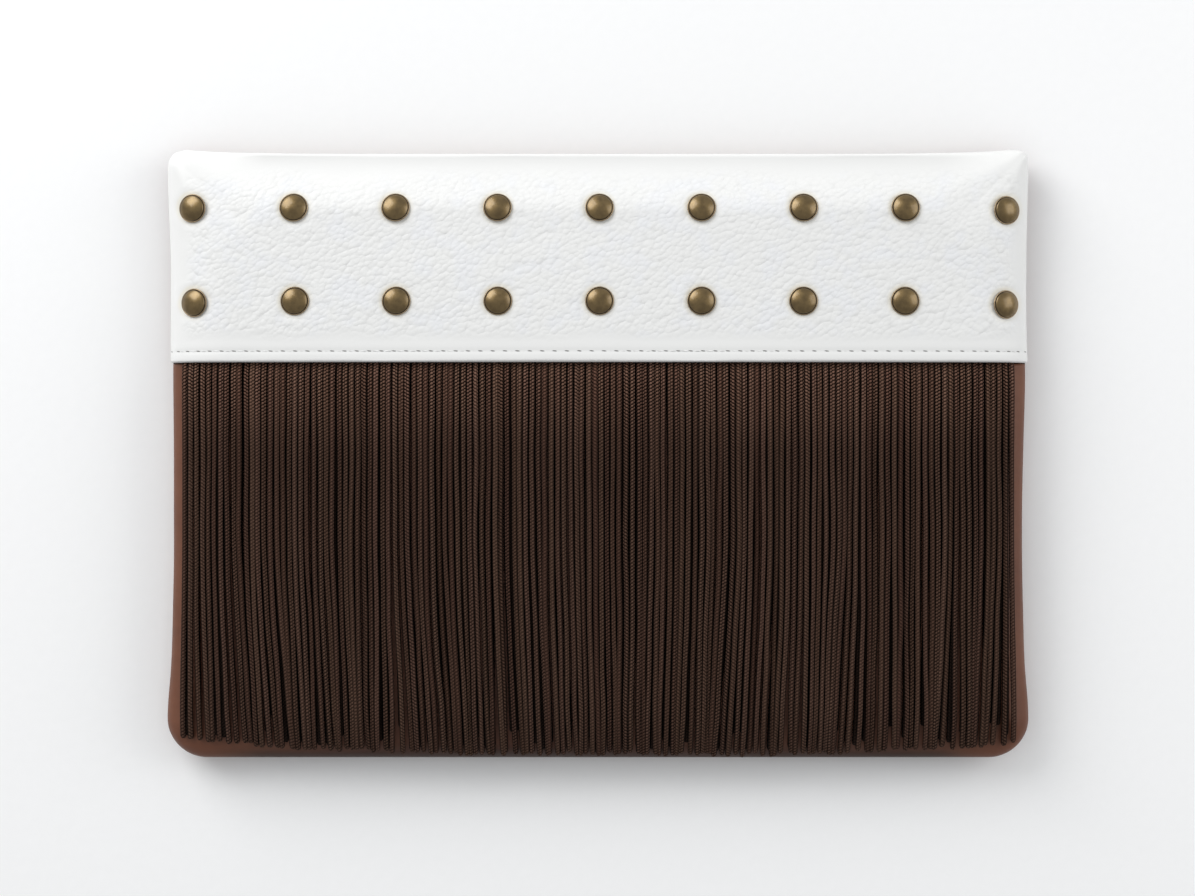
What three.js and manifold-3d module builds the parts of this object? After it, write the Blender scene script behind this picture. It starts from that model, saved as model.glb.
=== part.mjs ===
// A fringed clutch bag: a soft leather pouch with a riveted pale band across the top of its
// front and a cord fringe that hangs from under the band's folded hem.
// The bag lies on its back. X runs across it, Y towards its mouth and Z out of its front.
// Sizes are in millimetres, and the origin is on the floor under the middle of the bag.
import * as THREE from "three";
import { mergeVertices } from "three/addons/utils/BufferGeometryUtils.js";
import Module from "manifold-3d";

// The pouch
const bagWidth = 281.8;
const bagHeight = 200.4;
const seamHeight = 8.5; // the side seams above the floor
const frontRise = 11.2; // the front's rolled edge above the seams
const crownRise = 4.3; // what the filling adds in the middle of the front
const edgeRoll = 20; // how far in from the outline the leather rolls over
const bottomCorner = 13;
const mouthCornerLeft = 6;
const mouthCornerRight = 3.6;
const cornerBlend = 1.2; // how wide the slopes blend at a corner, in insets
const mouthSag = 1.75; // how far the mouth's edge draws in between its corners
const leatherWall = 1.5;
const seamGap = 0.3;
const mouthGap = 6; // between the two lips
const mouthTaper = 34; // the stretch at each end in which the lips close
const mouthRoll = 23; // how far down the leather rises from the flat lips
const mouthFade = 40; // how far down the lips' flatness is felt at all

// The pale band
const bandHeight = 70.4; // from the mouth's edge down to the hem
const bandProud = 0.8; // how far it stands out past the brown leather at each side
const foldWall = 2.6; // two layers, where its edges are turned in
const hemFold = 10;
const lipMargin = 1.2; // between the turned lip's inner edge and the upper rivets' bases

// The fringe
const fringeInset = 4.5; // from the bag's sides to the fringe's ends
const fringeEndGap = 1.6; // from the ends of the middle locks to the bottom edge
const fringeSideLift = 5; // how much shorter the outer locks are
const fringeSwing = 3.2; // the most that a lock's end swings sideways
const lockCount = 34;
const lockGap = 0.8;
const lockThickness = 2.6;
const lockSeat = 0.3; // more than the clearance, because the locks are straight between sections
const tapeWall = 0.9; // the woven tape that holds the locks, under the hem
const tapeTuck = 9;
const tapeBelowHem = 1.6;
const headHeight = 3; // below the hem, where the locks are one

// The rivets
const rivetColumns = 9;
const rivetInset = 7.6; // from the bag's sides to the outer columns
const rivetShift = 0.5; // how far right of the middle the columns sit
const capRadius = 4.72;
const capHeight = 2.2;
const capRim = 0.9;
const postRadius = 1.4;
const baseRadius = 3;
const baseWall = 0.8;
const baseSeat = 0.9; // more than the clearance, because the leather curves round it
const rivetSides = 9;

// The hidden snap between the lips
const snapRadius = 5.4;
const snapMargin = 0.2; // between the snap and the turned lip's inner edge
const snapSides = 20;

// Clearances between pieces
const clearance = 0.3;

// Faces of the curved skins
const sideSteps = 6;
const acrossSteps = 12;
const cornerSteps = 3;
const rollSteps = 4;
const smallestCorner = 1.5;
const innerRings = [0.22, 0.55, 1]; // shares of the way from the roll to the spine

// How the bag's half width changes from its bottom to its mouth
const waist = [
  { up: -1.0, left: 1.007, right: 1.007 },
  { up: -0.84, left: 1.007, right: 1.007 },
  { up: -0.7, left: 0.9995, right: 0.9995 },
  { up: -0.5, left: 0.995, right: 0.995 },
  { up: -0.35, left: 0.993, right: 0.993 },
  { up: -0.18, left: 0.993, right: 0.993 },
  { up: 0.0, left: 0.993, right: 0.9955 },
  { up: 0.27, left: 0.9945, right: 1.0 },
  { up: 0.42, left: 0.9944, right: 0.9975 },
  { up: 0.66, left: 0.9944, right: 0.9975 },
  { up: 0.81, left: 0.999, right: 0.9995 },
  { up: 0.93, left: 1.0014, right: 1.0014 },
  { up: 1.0, left: 1.0014, right: 1.0014 },
];

// Where the locks have their sections, from the hem to their ends
const lockSections = [0, 0.26, 0.52, 0.75, 0.87, 0.935, 0.975, 1];

// The rivets' rows: how far down the band, and how far the end columns stray down in cap radii
const rivetRows = [
  { name: "upper", down: 0.281, leftStray: 0.04, rightStray: 0.17 },
  { name: "lower", down: 0.717, leftStray: 0.1, rightStray: 0.21 },
];

// How the ends of the locks swing, from the left of the bag to the right
const swing = [
  { across: -1.00, aside: -0.3 },
  { across: -0.90, aside: 0.6 },
  { across: -0.80, aside: 1.0 },
  { across: -0.55, aside: 0.75 },
  { across: -0.35, aside: 0.8 },
  { across: -0.10, aside: 0.45 },
  { across: 0.00, aside: 0.1 },
  { across: 0.15, aside: -0.3 },
  { across: 0.30, aside: -0.8 },
  { across: 0.45, aside: -0.85 },
  { across: 0.65, aside: -0.6 },
  { across: 0.85, aside: -0.75 },
  { across: 0.95, aside: -0.4 },
  { across: 1.00, aside: 0.25 },
];

const halfHeight = bagHeight / 2;
const stackUnderHem = foldWall + clearance + tapeWall + clearance;
const hemEdge = halfHeight - bandHeight;
const tuckedHalf = bagWidth / 2 - edgeRoll;
const lipFold = bandHeight * rivetRows[0].down - baseRadius - lipMargin;
const snapDrop = lipFold - snapRadius - snapMargin;
const fringeWidth = bagWidth - 2 * fringeInset;
const beyond = bagHeight; // clear past the bag's edges

const wasm = await Module();
wasm.setup();

// The value of one column of a table at a place between its rows, by straight lines.
function readTable(rows, placeName, valueName, place) {
  for (let i = 1; i < rows.length; i++) {
    const low = rows[i - 1];
    const high = rows[i];
    if (place <= high[placeName]) {
      const share = (place - low[placeName]) / (high[placeName] - low[placeName]);
      return THREE.MathUtils.lerp(low[valueName], high[valueName], Math.max(share, 0));
    }
  }
  return rows[rows.length - 1][valueName];
}

// One side of the pouch: which way it bulges, how far, and how wide it is cut.
function makeSkin({ facing, proud, sunk }) {
  return {
    facing,
    sunk,
    halfWidth: bagWidth / 2 + proud,
    top: facing > 0 ? frontRise : seamHeight,
    crown: facing > 0 ? crownRise : 0,
  };
}

const bandSkin = makeSkin({ facing: 1, proud: bandProud, sunk: 0 });
const frontSkin = makeSkin({ facing: 1, proud: 0, sunk: stackUnderHem });
const backSkin = makeSkin({ facing: -1, proud: 0, sunk: 0 });

function cornerRadius(u, v) {
  if (v < 0) return bottomCorner;
  return u < 0 ? mouthCornerLeft : mouthCornerRight;
}

// How far a place on the flat pattern is in from the pattern's outline. Near a corner's diagonal
// it is a little less, so that the two sides' slopes run into each other with no ridge.
function insetAt(skin, u, v) {
  const radius = cornerRadius(u, v);
  const pastX = Math.abs(u) - (skin.halfWidth - radius);
  const pastY = Math.abs(v) - (halfHeight - radius);
  const inCorner = pastX > 0 && pastY > 0;
  const past = inCorner ? Math.hypot(pastX, pastY) : Math.max(pastX, pastY);
  const inset = radius - past;
  const blend = cornerBlend * inset;
  const shared = blend - Math.abs(pastX - pastY);
  return shared > 0 ? inset - shared ** 2 / (4 * blend) : inset;
}

// How much wider than its pattern the bag is at a height, on the side that u is on.
function widthAt(u, v) {
  return readTable(waist, "up", u < 0 ? "left" : "right", v / halfHeight);
}

// How much a place takes part in the mouth: 1 at its middle, 0 at its ends and far below it.
function mouthShare(skin, u, v) {
  const fromEnd = (skin.halfWidth - Math.abs(u)) / mouthTaper;
  const fromMouth = (halfHeight - v) / mouthFade;
  const open = THREE.MathUtils.smoothstep(fromEnd, 0, 1);
  return open * (1 - THREE.MathUtils.smoothstep(fromMouth, 0, 1));
}

// A place on the flat pattern (u across, v up) to its point on the bag, `depth` under the skin.
// The leather rolls over at the sides and bottom, and leaves the mouth as a flat lip.
function place(skin, u, v, depth = 0) {
  const mouth = mouthShare(skin, u, v);
  const reach = THREE.MathUtils.lerp(edgeRoll, mouthRoll, mouth);
  const inset = insetAt(skin, u, v) - depth;
  const along = THREE.MathUtils.clamp(inset / (reach - depth), 0, 1);
  const rolled = Math.sqrt(1 - (1 - along) ** 2);
  const bulge = THREE.MathUtils.lerp(rolled, THREE.MathUtils.smoothstep(along, 0, 1), mouth);
  const edge = seamGap / 2 + mouth * (mouthGap / 2 + foldWall - depth);
  const crownShare = (1 - (u / skin.halfWidth) ** 2) * (1 - (v / halfHeight) ** 2);
  const full = skin.top + skin.crown * Math.max(crownShare, 0) - skin.sunk - depth;
  const across = Math.min(Math.abs(u) / (skin.halfWidth - mouthCornerLeft), 1);
  const sag = mouthSag * Math.max(v / halfHeight, 0) ** 10 * (1 - across ** 9);
  return new THREE.Vector3(
    u * widthAt(u, v),
    v - sag,
    seamHeight + skin.facing * THREE.MathUtils.lerp(edge, full, bulge),
  );
}

// The pattern's outline set in by `inset`, as a loop of places.
function patternLoop(skin, inset) {
  const loop = [];
  const corners = [
    { right: 1, up: 1, from: 0 },
    { right: -1, up: 1, from: 90 },
    { right: -1, up: -1, from: 180 },
    { right: 1, up: -1, from: 270 },
  ];
  corners.forEach(({ right, up, from }, i) => {
    const radius = Math.max(cornerRadius(right, up) - inset, smallestCorner);
    const centreX = right * (skin.halfWidth - inset - radius);
    const centreY = up * (halfHeight - inset - radius);
    for (let k = 0; k <= cornerSteps; k++) {
      const angle = THREE.MathUtils.degToRad(from + (90 * k) / cornerSteps);
      const u = centreX + radius * Math.cos(angle);
      loop.push({ u, v: centreY + radius * Math.sin(angle) });
    }
    loop.push({ sideOf: i });
  });
  return fillSides(loop);
}

// Puts evenly spaced places on the straight side after each corner.
function fillSides(loop) {
  const filled = [];
  loop.forEach((here, i) => {
    if (here.sideOf === undefined) {
      filled.push(here);
      return;
    }
    const start = loop[i - 1];
    const end = loop[(i + 1) % loop.length];
    const steps = here.sideOf % 2 === 0 ? acrossSteps : sideSteps;
    for (let k = 1; k < steps; k++) {
      const u = THREE.MathUtils.lerp(start.u, end.u, k / steps);
      filled.push({ u, v: THREE.MathUtils.lerp(start.v, end.v, k / steps) });
    }
  });
  return filled;
}

// All the loops of one surface of a skin, from its edge to the spine in the middle.
function surfaceRings(skin, depth) {
  const loops = [];
  for (let k = 0; k <= rollSteps; k++) {
    const angle = (Math.PI / 2) * (k / rollSteps);
    const inset = depth + (edgeRoll - depth) * (1 - Math.cos(angle));
    loops.push(patternLoop(skin, inset));
  }
  const rolledLoop = loops[rollSteps];
  const spineHalf = skin.halfWidth - halfHeight;
  for (const share of innerRings) {
    loops.push(
      rolledLoop.map(({ u, v }) => {
        const spineU = THREE.MathUtils.clamp(u, -spineHalf, spineHalf);
        return { u: THREE.MathUtils.lerp(u, spineU, share), v: v * (1 - share) };
      }),
    );
  }
  return loops.map((loop) => loop.map(({ u, v }) => place(skin, u, v, depth)));
}

// Triangles between loops of as many points each, in the loops' order.
function bridge(loops, triangles) {
  for (let r = 1; r < loops.length; r++) {
    const outer = loops[r - 1];
    const inner = loops[r];
    outer.forEach((point, i) => {
      const next = (i + 1) % outer.length;
      triangles.push([point, outer[next], inner[next]], [point, inner[next], inner[i]]);
    });
  }
}

// A closed solid from loose triangles: shared points are merged and slivers dropped.
function solidFromTriangles(triangles) {
  const flat = triangles.flatMap((triangle) => triangle.flatMap((p) => [p.x, p.y, p.z]));
  const loose = new THREE.BufferGeometry();
  loose.setAttribute("position", new THREE.Float32BufferAttribute(flat, 3));
  return solidFromGeometry(loose);
}

function solidFromGeometry(geometry) {
  const bare = geometry.clone();
  bare.deleteAttribute("normal");
  bare.deleteAttribute("uv");
  const merged = mergeVertices(bare, 1e-4);
  const triVerts = [];
  for (let i = 0; i < merged.index.count; i += 3) {
    const [a, b, c] = [0, 1, 2].map((k) => merged.index.getX(i + k));
    if (a !== b && b !== c && c !== a) triVerts.push(a, b, c);
  }
  const mesh = new wasm.Mesh({
    numProp: 3,
    vertProperties: new Float32Array(merged.attributes.position.array),
    triVerts: new Uint32Array(triVerts),
  });
  return new wasm.Manifold(mesh);
}

function geometryFromSolid(solid) {
  const mesh = solid.getMesh();
  const geometry = new THREE.BufferGeometry();
  geometry.setAttribute("position", new THREE.BufferAttribute(mesh.vertProperties, 3));
  geometry.setIndex(new THREE.BufferAttribute(mesh.triVerts, 1));
  const loose = geometry.toNonIndexed();
  loose.computeVertexNormals();
  return loose;
}

// One whole side of the pouch, between two depths under its skin.
function skinShell(skin, outerDepth, innerDepth) {
  const outer = surfaceRings(skin, outerDepth);
  const inner = surfaceRings(skin, innerDepth);
  const triangles = [];
  bridge([...inner].reverse(), triangles);
  bridge([inner[0], outer[0]], triangles);
  bridge(outer, triangles);
  if (skin.facing < 0) triangles.forEach((triangle) => triangle.reverse());
  return solidFromTriangles(triangles);
}

// Everything between two heights up the bag, across its whole width.
function slabAcross(low, high) {
  const size = 2 * bagWidth;
  const slab = new THREE.BoxGeometry(size, high - low, size);
  slab.translate(0, (low + high) / 2, 0);
  return solidFromGeometry(slab);
}

function backPanel() {
  const wall = skinShell(backSkin, 0, leatherWall);
  const lip = skinShell(backSkin, 0, foldWall);
  return wall.add(lip.intersect(slabAcross(halfHeight - lipFold, beyond)));
}

// The same, short of the sides by the stretch in which the leather rolls over.
function slabBetweenRolls(low, high) {
  const size = 2 * bagWidth;
  const slab = new THREE.BoxGeometry(2 * tuckedHalf, high - low, size);
  slab.translate(0, (low + high) / 2, 0);
  return solidFromGeometry(slab);
}

function frontPanel() {
  const top = hemEdge - clearance;
  const below = slabAcross(-beyond, top);
  const tucked = slabBetweenRolls(top - leatherWall, hemEdge + tapeTuck);
  return skinShell(frontSkin, 0, leatherWall).intersect(below.add(tucked));
}

// Where each rivet sits: its point on the band and the way its cap faces.
function rivetSeats() {
  const seats = [];
  const span = bagWidth - 2 * rivetInset;
  for (const { name, down, leftStray, rightStray } of rivetRows) {
    for (let column = 0; column < rivetColumns; column++) {
      const atLeft = column === 0 ? leftStray : 0;
      const atRight = column === rivetColumns - 1 ? rightStray : 0;
      const u = rivetShift + span * (column / (rivetColumns - 1) - 0.5);
      const v = halfHeight - bandHeight * down - capRadius * (atLeft + atRight);
      const point = place(bandSkin, u, v);
      const right = place(bandSkin, u + 1, v).sub(place(bandSkin, u - 1, v));
      const up = place(bandSkin, u, v + 1).sub(place(bandSkin, u, v - 1));
      const facing = right.cross(up).normalize();
      seats.push({ name: `rivet_${name}_${column + 1}`, point, facing });
    }
  }
  return seats;
}

const upward = new THREE.Vector3(0, 1, 0);

function topBand() {
  const wall = skinShell(bandSkin, 0, leatherWall).intersect(slabAcross(hemEdge, beyond));
  const folded = skinShell(bandSkin, 0, foldWall);
  const hem = folded.intersect(slabAcross(hemEdge, hemEdge + hemFold));
  const lip = folded.intersect(slabAcross(halfHeight - lipFold, beyond));
  let band = wall.add(hem).add(lip);
  for (const { point, facing } of rivetSeats()) {
    const drill = new THREE.CylinderGeometry(
      postRadius + clearance,
      postRadius + clearance,
      4 * leatherWall,
      rivetSides,
    );
    drill.applyQuaternion(new THREE.Quaternion().setFromUnitVectors(upward, facing));
    drill.translate(point.x, point.y, point.z);
    band = band.subtract(solidFromGeometry(drill));
  }
  return band;
}

// One rivet about its own axis: a domed cap, a post through the leather and a flat base.
function rivetGeometry() {
  const underLeather = -leatherWall - clearance - baseSeat;
  const profile = [
    [0, underLeather - baseWall],
    [baseRadius, underLeather - baseWall],
    [baseRadius, underLeather],
    [postRadius, underLeather],
    [postRadius, clearance],
    [capRadius, clearance],
    [capRadius, clearance + capRim],
    [capRadius * 0.72, clearance + capHeight * 0.83],
    [0, clearance + capHeight],
  ].map(([radius, height]) => new THREE.Vector2(radius, height));
  return new THREE.LatheGeometry(profile, rivetSides);
}

// A point over the front panel, `lift` above it and x across the bag, whatever its width there.
function overFront(x, v, lift) {
  const point = place(frontSkin, x / widthAt(x, v), v);
  point.z += lift;
  return point;
}

// A strip across the front panel between two heights up the bag.
function stripAcross({ halfLength, low, high, lift, wall }) {
  const sections = Array.from({ length: lockCount + 1 }, (_, i) => {
    const u = THREE.MathUtils.lerp(-halfLength, halfLength, i / lockCount);
    return [
      overFront(u, low, lift),
      overFront(u, low, lift + wall),
      overFront(u, high, lift + wall),
      overFront(u, high, lift),
    ];
  });
  return loftSolid(sections);
}

// One lock of cords, which lies on the front panel from under the hem to its own end.
function fringeLock(index) {
  const pitch = fringeWidth / lockCount;
  const u = pitch * (index + 0.5) - fringeWidth / 2;
  const across = (2 * u) / fringeWidth;
  const start = hemEdge - clearance;
  const end = -halfHeight + fringeEndGap + fringeSideLift * across ** 4;
  const aside = fringeSwing * readTable(swing, "across", "aside", across);
  const halfLock = (pitch - lockGap) / 2;
  const seat = clearance + lockSeat;
  const sections = lockSections.map((share) => {
    const v = THREE.MathUtils.lerp(start, end, share);
    const left = u + aside * share ** 3 - halfLock;
    const right = left + 2 * halfLock;
    const top = seat + lockThickness * (1 - 0.2 * share);
    return [
      overFront(left, v, seat),
      overFront(left, v, top),
      overFront(right, v, top),
      overFront(right, v, seat),
    ];
  });
  return loftSolid(sections);
}

// A closed solid through sections of as many points each, with flat ends.
function loftSolid(sections) {
  const triangles = [];
  bridge(sections, triangles);
  const first = sections[0];
  const last = sections[sections.length - 1];
  for (let i = 2; i < first.length; i++) {
    triangles.push([first[0], first[i], first[i - 1]]);
    triangles.push([last[0], last[i - 1], last[i]]);
  }
  const solid = solidFromTriangles(triangles);
  if (solid.volume() > 0) return solid;
  return solidFromTriangles(triangles.map((triangle) => [...triangle].reverse()));
}

function fringe() {
  const tape = stripAcross({
    halfLength: tuckedHalf,
    low: hemEdge - tapeBelowHem,
    high: hemEdge + tapeTuck,
    lift: clearance,
    wall: tapeWall,
  });
  const head = stripAcross({
    halfLength: (fringeWidth - 2 * lockGap) / 2,
    low: hemEdge - clearance - headHeight,
    high: hemEdge - clearance - 0.1,
    lift: clearance + lockSeat / 2,
    wall: lockThickness / 2,
  });
  const locks = Array.from({ length: lockCount }, (_, i) => fringeLock(i));
  return wasm.Manifold.union([tape, head, ...locks]);
}

// The snap fills the space between the two turned lips.
function snap() {
  const disc = new THREE.CylinderGeometry(snapRadius, snapRadius, 3 * mouthGap / 2, snapSides);
  disc.rotateX(Math.PI / 2);
  disc.translate(0, halfHeight - mouthSag - snapDrop, seamHeight);
  const lips = [bandSkin, backSkin].map((skin) => skinShell(skin, 0, foldWall + clearance));
  return solidFromGeometry(disc).subtract(lips[0]).subtract(lips[1]);
}

const materials = {
  brownLeather: new THREE.MeshStandardMaterial({ color: 0x6b4436, roughness: 0.55 }),
  paleLeather: new THREE.MeshStandardMaterial({ color: 0xf1f1ee, roughness: 0.5 }),
  cord: new THREE.MeshStandardMaterial({ color: 0x3f2f27, roughness: 0.9 }),
  brass: new THREE.MeshStandardMaterial({ color: 0x8a7449, roughness: 0.35, metalness: 1 }),
  steel: new THREE.MeshStandardMaterial({ color: 0x8d8a84, roughness: 0.4, metalness: 1 }),
};

function addNode(group, name, geometry, material) {
  const mesh = new THREE.Mesh(geometry, material);
  mesh.name = name;
  group.add(mesh);
  return mesh;
}

const bag = new THREE.Group();
addNode(bag, "back_panel", geometryFromSolid(backPanel()), materials.brownLeather);
addNode(bag, "front_panel", geometryFromSolid(frontPanel()), materials.brownLeather);
addNode(bag, "top_band", geometryFromSolid(topBand()), materials.paleLeather);
addNode(bag, "fringe", geometryFromSolid(fringe()), materials.cord);
addNode(bag, "snap", geometryFromSolid(snap()), materials.steel);
for (const { name, point, facing } of rivetSeats()) {
  const rivet = addNode(bag, name, rivetGeometry(), materials.brass);
  rivet.position.copy(point);
  rivet.quaternion.setFromUnitVectors(upward, facing);
}

export default bag;
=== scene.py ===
import math
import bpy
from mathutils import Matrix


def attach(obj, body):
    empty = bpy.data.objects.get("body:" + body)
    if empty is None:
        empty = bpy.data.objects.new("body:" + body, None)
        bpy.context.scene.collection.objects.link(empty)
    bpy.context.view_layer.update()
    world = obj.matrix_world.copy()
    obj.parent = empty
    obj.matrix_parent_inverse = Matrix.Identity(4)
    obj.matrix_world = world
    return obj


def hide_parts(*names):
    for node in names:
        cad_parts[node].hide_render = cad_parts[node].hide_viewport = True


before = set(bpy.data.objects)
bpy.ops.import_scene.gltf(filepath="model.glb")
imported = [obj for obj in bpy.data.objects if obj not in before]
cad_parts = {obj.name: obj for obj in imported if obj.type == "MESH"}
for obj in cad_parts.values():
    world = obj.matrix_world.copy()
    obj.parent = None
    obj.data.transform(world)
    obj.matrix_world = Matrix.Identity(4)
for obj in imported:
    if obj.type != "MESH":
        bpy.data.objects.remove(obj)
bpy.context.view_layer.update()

from types import SimpleNamespace

import bpy
import numpy as np

# A fringed clutch bag that lies on its back. Every size below is in millimetres, as in the part's
# source, and becomes metres only when a mesh is made.

# The pouch
BAG_WIDTH = 281.8
BAG_HEIGHT = 200.4
SEAM_HEIGHT = 8.5
FRONT_RISE = 11.2
CROWN_RISE = 4.3
EDGE_ROLL = 20.0
BOTTOM_CORNER = 13.0
MOUTH_CORNER_LEFT = 6.0
MOUTH_CORNER_RIGHT = 3.6
CORNER_BLEND = 1.2
MOUTH_SAG = 1.75
LEATHER_WALL = 1.5
FOLD_WALL = 2.6
PANEL_STEP = 1.15
BACK_STEP = 1.5
SEAM_GAP = 0.3
MOUTH_GAP = 6.0
MOUTH_TAPER = 34.0
MOUTH_ROLL = 23.0
MOUTH_FADE = 40.0
HALF_HEIGHT = BAG_HEIGHT / 2

# The pale band
BAND_HEIGHT = 70.4
BAND_PROUD = 0.8
HEM_FOLD = 10.0
HEM_EDGE = HALF_HEIGHT - BAND_HEIGHT
LIP_FOLD = 15.6
STITCH_RISE = 3.6
STITCH_PITCH = 4.03
HEM_TURN = 0.7
THREAD_RADIUS = 0.21
GRAIN_STEP = 0.55

# The fringe
CLEARANCE = 0.3
TAPE_WALL = 0.9
TAPE_TUCK = 9.0
FRINGE_HALF = 135.5
# deep is 1 for a row whose cords are darkened with painted shade, as they lie under the front row.
FRONT_ROW = SimpleNamespace(name="fringe_cords", count=134, half=FRINGE_HALF, lift=2.4, radius=0.9,
                            rings=60, sides=10, restless=1.0, deep=0.0, seed=4)
UNDER_ROW = SimpleNamespace(name="under_cords", count=112, half=FRINGE_HALF - 1.4, lift=1.15,
                            radius=0.85, rings=34, sides=6, restless=0.4, deep=1.0, seed=12)
HEM_LIFT = 0.9
END_LIFT = 1.0
KNIT_PITCH = 1.1
UNDER_HEM = FOLD_WALL + TAPE_WALL + 2 * CLEARANCE

# The rivets
RIVET_COLUMNS = 9
RIVET_ROWS = [
    SimpleNamespace(name="upper", down=0.281, left_stray=0.04, right_stray=0.17),
    SimpleNamespace(name="lower", down=0.717, left_stray=0.1, right_stray=0.21),
]
RIVET_INSET = 7.6
RIVET_SHIFT = 0.5
CAP_RADIUS = 4.72
BASE_RADIUS = 3.0
POST_RADIUS = 1.4
DOME_SLOPE = 28
RIVET_SIDES = 40
SNAP_RADIUS = 5.4
SNAP_DOWN = 11.73

# How the bag's half width changes from its bottom to its mouth
WAIST_UP = np.array([-1.0, -0.84, -0.7, -0.5, -0.35, -0.18, 0.0, 0.27, 0.42, 0.66, 0.81, 0.93, 1.0])
WAIST_LEFT = np.array([1.007, 1.007, 0.9995, 0.995, 0.993, 0.993, 0.993, 0.9945, 0.9944, 0.9944,
                       0.999, 1.0014, 1.0014])
WAIST_RIGHT = np.array([1.007, 1.007, 0.9995, 0.995, 0.993, 0.993, 0.9955, 1.0, 0.9975, 0.9975,
                        0.9995, 1.0014, 1.0014])

# Where the cords' ends come to lie, from the left of the bag to the right, in millimetres
DRIFT_ACROSS = np.array([-1.0, -0.97, -0.92, -0.81, -0.73, -0.63, -0.56, -0.51, -0.49, -0.45, -0.38,
                         -0.27, -0.19, -0.09, 0.0, 0.1, 0.17, 0.24, 0.3, 0.38, 0.46, 0.52, 0.6, 0.67,
                         0.74, 0.8, 0.85, 0.875, 0.93, 0.965, 1.0])
DRIFT_ASIDE = np.array([-0.9, 0.9, 2.1, 3.6, 3.0, 2.4, 0.9, 0.8, 2.3, 3.4, 2.7,
                        1.4, 2.8, 1.5, 0.5, -0.5, -1.9, -1.9, -3.4, -3.2, -2.1, -1.5, -2.3, -0.9,
                        0.3, -0.6, -2.6, -0.3, -1.4, -1.6, 0.9])
END_ACROSS = np.array([-1.0, -0.93, -0.87, -0.8, -0.7, -0.6, -0.45, 0.0, 0.6, 0.75, 0.9, 0.97, 1.0])
END_UP = np.array([-93.9, -94.3, -95.2, -96.2, -97.0, -97.3, -98.2, -98.4, -98.2, -96.9, -96.6,
                   -95.7, -95.1])


# Shapes as whole arrays

def smoothstep(low, high, x):
    """0 below low and 1 above high, with 3t^2 - 2t^3 between."""
    t = np.clip((x - low) / (high - low), 0, 1)
    return t * t * (3 - 2 * t)


def bell(x, middle, width):
    """exp of minus the square of the distance from the middle in widths."""
    return np.exp(-(((x - middle) / width) ** 2))


def curve_through(places, values, at):
    """A smooth curve through a table: cubics whose slopes are the rows' central differences."""
    slopes = np.gradient(values, places)
    i = np.clip(np.searchsorted(places, at) - 1, 0, len(places) - 2)
    gap = places[i + 1] - places[i]
    t = np.clip((at - places[i]) / gap, 0, 1)
    a, b = values[i], values[i + 1]
    p, q = slopes[i] * gap, slopes[i + 1] * gap
    return a + t * (p + t * (3 * (b - a) - 2 * p - q + t * (2 * (a - b) + p + q)))


def hashed(i, j, seed):
    """An even spread of numbers from 0 to 1 on whole-number places, the same each run."""
    n = np.sin(i * 127.1 + j * 311.7 + seed * 74.7) * 43758.5453
    return n - np.floor(n)


def soft_noise(x, y, seed):
    """Values at whole-number places, eased into each other by 3t^2 - 2t^3 both ways."""
    i, j = np.floor(x), np.floor(y)
    fx, fy = x - i, y - j
    fx, fy = fx * fx * (3 - 2 * fx), fy * fy * (3 - 2 * fy)
    low = hashed(i, j, seed) * (1 - fx) + hashed(i + 1, j, seed) * fx
    high = hashed(i, j + 1, seed) * (1 - fx) + hashed(i + 1, j + 1, seed) * fx
    return 2 * (low * (1 - fy) + high * fy) - 1


def make_side(facing, proud, sunk):
    """One side of the pouch: the way it bulges, its half width and its heights."""
    return SimpleNamespace(
        facing=facing,
        sunk=sunk,
        half_width=BAG_WIDTH / 2 + proud,
        top=FRONT_RISE if facing > 0 else SEAM_HEIGHT,
        crown=CROWN_RISE if facing > 0 else 0.0,
    )


BAND_SIDE = make_side(1, BAND_PROUD, 0.0)
FRONT_SIDE = make_side(1, 0.0, UNDER_HEM)
BACK_SIDE = make_side(-1, 0.0, 0.0)


def corner_radius(u, v):
    """The outline's corner radius on this side of the bag."""
    return np.where(v < 0, BOTTOM_CORNER, np.where(u < 0, MOUTH_CORNER_LEFT, MOUTH_CORNER_RIGHT))


def inset_at(side, u, v):
    """How far in from the outline: the corner's radius less the distance past its centre.

    Near a corner's diagonal it is less by a parabola, so that the slopes meet with no ridge."""
    radius = corner_radius(u, v)
    past_x = np.abs(u) - (side.half_width - radius)
    past_y = np.abs(v) - (HALF_HEIGHT - radius)
    past = np.where((past_x > 0) & (past_y > 0), np.hypot(past_x, past_y),
                    np.maximum(past_x, past_y))
    inset = radius - past
    blend = np.maximum(CORNER_BLEND * inset, 1e-6)
    shared = np.maximum(blend - np.abs(past_x - past_y), 0)
    return inset - shared ** 2 / (4 * blend)


def width_at(u, v):
    """How much wider than its pattern the bag is at a height, on the side that u is on."""
    up = v / HALF_HEIGHT
    return np.where(u < 0, curve_through(WAIST_UP, WAIST_LEFT, up),
                    curve_through(WAIST_UP, WAIST_RIGHT, up))


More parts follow.
